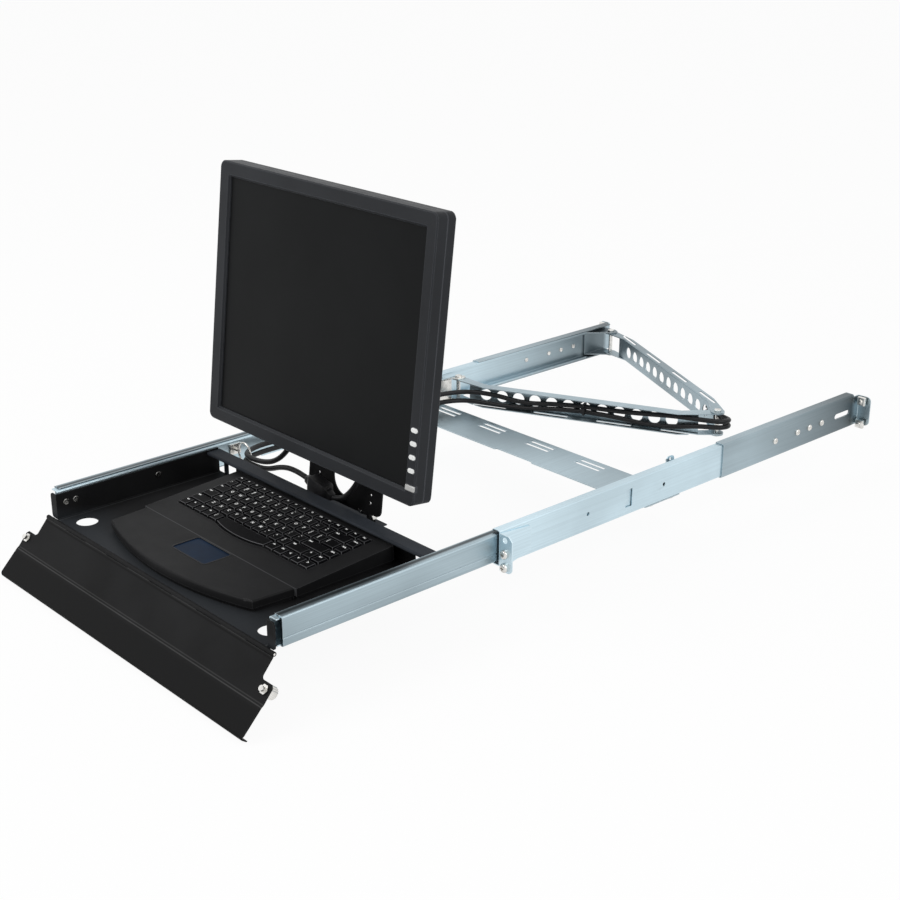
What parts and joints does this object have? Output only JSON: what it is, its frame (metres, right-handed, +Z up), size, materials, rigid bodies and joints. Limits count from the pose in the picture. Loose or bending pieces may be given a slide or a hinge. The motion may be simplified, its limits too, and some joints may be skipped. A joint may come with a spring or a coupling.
{
  "type": "rack monitor keyboard tray",
  "caption": "Pull-out rack tray with a keyboard and touchpad, a fold-back flat monitor, a drop-down front panel, ball-bearing rails and a hinged cable arm.",
  "frame": {"origin": "middle of the rack's front mounting plane, level with the middle hole of the unit the rails use", "axes": "+X to the right seen from the front, +Y from the front of the rack to its back, +Z up"},
  "size_m": [0.486, 1.0167, 0.4547],
  "materials": {
    "zinc_steel": "zinc plated, satin",
    "bright_steel": "bright nickel",
    "black_powder": "fine-textured powder coat",
    "grey_powder": "satin powder coat",
    "charcoal_plastic": "matte moulded",
    "dark_screen": "anti-glare screen",
    "keyboard_black": "matte moulded",
    "key_black": "satin moulded",
    "touchpad_navy": "matte film",
    "button_white": "satin moulded",
    "button_grey": "satin moulded",
    "lead_black": "satin jacket"
  },
  "bodies": {
    "rack_rails": {"left_outer_rail": "zinc_steel", "right_outer_rail": "zinc_steel", "left_front_bracket": "zinc_steel", "right_front_bracket": "zinc_steel", "left_rear_extension": "zinc_steel", "right_rear_extension": "zinc_steel", "rail_bolts": "bright_steel", "cross_brace": "zinc_steel", "rear_arm_bracket": "zinc_steel"},
    "ball_cages": {"left_ball_cage": "zinc_steel", "right_ball_cage": "zinc_steel"},
    "tray": {"left_slide_member": "zinc_steel", "right_slide_member": "zinc_steel", "left_inner_rail": "zinc_steel", "right_inner_rail": "zinc_steel", "tray_pan": "black_powder", "wall_screws": "black_powder", "rear_bar": "grey_powder", "hinge_lugs": "black_powder", "panel_hinge_leaf": "black_powder", "panel_hinge_pin": "bright_steel", "keyboard_base": "keyboard_black", "keyboard_deck": "keyboard_black", "touchpad": "touchpad_navy", "front_arm_bracket": "bright_steel", "front_arm_pin": "bright_steel", "cable_ring": "bright_steel", "rail_clips": "black_powder", "monitor_leads": "lead_black", "inline_coupler": "lead_black", "tray_leads": "lead_black"},
    "front_panel": {"front_panel": "black_powder"},
    "left_thumbscrew": {"left_thumbscrew": "bright_steel"},
    "right_thumbscrew": {"right_thumbscrew": "bright_steel"},
    "monitor": {"monitor_bezel": "charcoal_plastic", "lcd_panel": "dark_screen", "monitor_back": "charcoal_plastic", "monitor_bracket": "black_powder", "bracket_screws": "bright_steel", "tilt_pins": "bright_steel", "monitor_plugs": "lead_black"},
    "front_arm": {"front_arm": "zinc_steel", "elbow_pin": "bright_steel", "cable_tie": "lead_black", "elbow_leads": "lead_black"},
    "rear_arm": {"rear_arm": "zinc_steel", "rear_arm_pin": "bright_steel", "lead_plugs": "lead_black"},
    "bottom_keys": {"bottom_key_row": "key_black"},
    "shift_keys": {"shift_key_row": "key_black"},
    "home_keys": {"home_key_row": "key_black"},
    "letter_keys": {"letter_key_row": "key_black"},
    "number_keys": {"number_key_row": "key_black"},
    "function_keys": {"function_key_row": "key_black"},
    "space_bar": {"space_bar": "key_black"},
    "menu_button_1": {"menu_button_1": "button_white"},
    "menu_button_2": {"menu_button_2": "button_white"},
    "menu_button_3": {"menu_button_3": "button_white"},
    "menu_button_4": {"menu_button_4": "button_white"},
    "power_button": {"power_button": "button_grey"}
  },
  "joints": [
    {"name": "tray_slide", "type": "slide", "parent": "rack_rails", "child": "tray", "axis": [0, 1, 0], "range_m": [0, 0.29]},
    {"name": "cage_roll", "type": "slide", "parent": "rack_rails", "child": "ball_cages", "axis": [0, 1, 0], "range_m": [0, 0.1455]},
    {"name": "front_arm_swing", "type": "hinge", "parent": "tray", "child": "front_arm", "pos_m": [-0.2, 0.3273, 0], "axis": [0, 0, 1], "range_deg": [-23.98, 0.1], "deforming": ["tray_leads"]},
    {"name": "elbow_swing", "type": "hinge", "parent": "front_arm", "child": "rear_arm", "pos_m": [0.13, 0.484, 0], "axis": [0, 0, 1], "range_deg": [-0.1, 47.75], "deforming": ["elbow_leads"]},
    {"name": "monitor_tilt", "type": "hinge", "parent": "tray", "child": "monitor", "pos_m": [0, -0.03048, -0.00645], "axis": [-1, 0, 0], "range_deg": [-6.8, 83.1], "deforming": ["monitor_leads"]},
    {"name": "panel_drop", "type": "hinge", "parent": "tray", "child": "front_panel", "pos_m": [0, -0.296, -0.017], "axis": [-1, 0, 0], "range_deg": [0, 139.8]},
    {"name": "left_thumbscrew_turn", "type": "hinge", "parent": "front_panel", "child": "left_thumbscrew", "pos_m": [-0.23255, -0.31722, -0.04211], "axis": [0, 0.7638, -0.6455], "continuous": true},
    {"name": "right_thumbscrew_turn", "type": "hinge", "parent": "front_panel", "child": "right_thumbscrew", "pos_m": [0.23255, -0.31722, -0.04211], "axis": [0, 0.7638, -0.6455], "continuous": true},
    {"name": "bottom_key_press", "type": "slide", "parent": "tray", "child": "bottom_keys", "axis": [0, 0.0628, -0.998], "range_m": [0, 0.002], "stiffness_N_per_m": 400, "springref_m": -0.002},
    {"name": "shift_key_press", "type": "slide", "parent": "tray", "child": "shift_keys", "axis": [0, 0.0628, -0.998], "range_m": [0, 0.002], "stiffness_N_per_m": 400, "springref_m": -0.002},
    {"name": "home_key_press", "type": "slide", "parent": "tray", "child": "home_keys", "axis": [0, 0.0628, -0.998], "range_m": [0, 0.002], "stiffness_N_per_m": 400, "springref_m": -0.002},
    {"name": "letter_key_press", "type": "slide", "parent": "tray", "child": "letter_keys", "axis": [0, 0.0628, -0.998], "range_m": [0, 0.002], "stiffness_N_per_m": 400, "springref_m": -0.002},
    {"name": "number_key_press", "type": "slide", "parent": "tray", "child": "number_keys", "axis": [0, 0.0628, -0.998], "range_m": [0, 0.002], "stiffness_N_per_m": 400, "springref_m": -0.002},
    {"name": "function_key_press", "type": "slide", "parent": "tray", "child": "function_keys", "axis": [0, 0.0628, -0.998], "range_m": [0, 0.002], "stiffness_N_per_m": 400, "springref_m": -0.002},
    {"name": "space_bar_press", "type": "slide", "parent": "tray", "child": "space_bar", "axis": [0, 0.0628, -0.998], "range_m": [0, 0.002], "stiffness_N_per_m": 400, "springref_m": -0.002},
    {"name": "menu_button_1_press", "type": "slide", "parent": "monitor", "child": "menu_button_1", "axis": [0, 0.9929, -0.1189], "range_m": [0, 0.001], "stiffness_N_per_m": 500, "springref_m": -0.001},
    {"name": "menu_button_2_press", "type": "slide", "parent": "monitor", "child": "menu_button_2", "axis": [0, 0.9929, -0.1189], "range_m": [0, 0.001], "stiffness_N_per_m": 500, "springref_m": -0.001},
    {"name": "menu_button_3_press", "type": "slide", "parent": "monitor", "child": "menu_button_3", "axis": [0, 0.9929, -0.1189], "range_m": [0, 0.001], "stiffness_N_per_m": 500, "springref_m": -0.001},
    {"name": "menu_button_4_press", "type": "slide", "parent": "monitor", "child": "menu_button_4", "axis": [0, 0.9929, -0.1189], "range_m": [0, 0.001], "stiffness_N_per_m": 500, "springref_m": -0.001},
    {"name": "power_button_press", "type": "slide", "parent": "monitor", "child": "power_button", "axis": [0, 0.9929, -0.1189], "range_m": [0, 0.001], "stiffness_N_per_m": 500, "springref_m": -0.001}
  ],
  "couplings": [
    {"joint": "cage_roll", "follows": "tray_slide", "ratio": 0.5},
    {"joint": "front_arm_swing", "follows": "tray_slide", "rad_per_m": -1.4309},
    {"joint": "elbow_swing", "follows": "tray_slide", "rad_per_m": 2.8618}
  ]
}
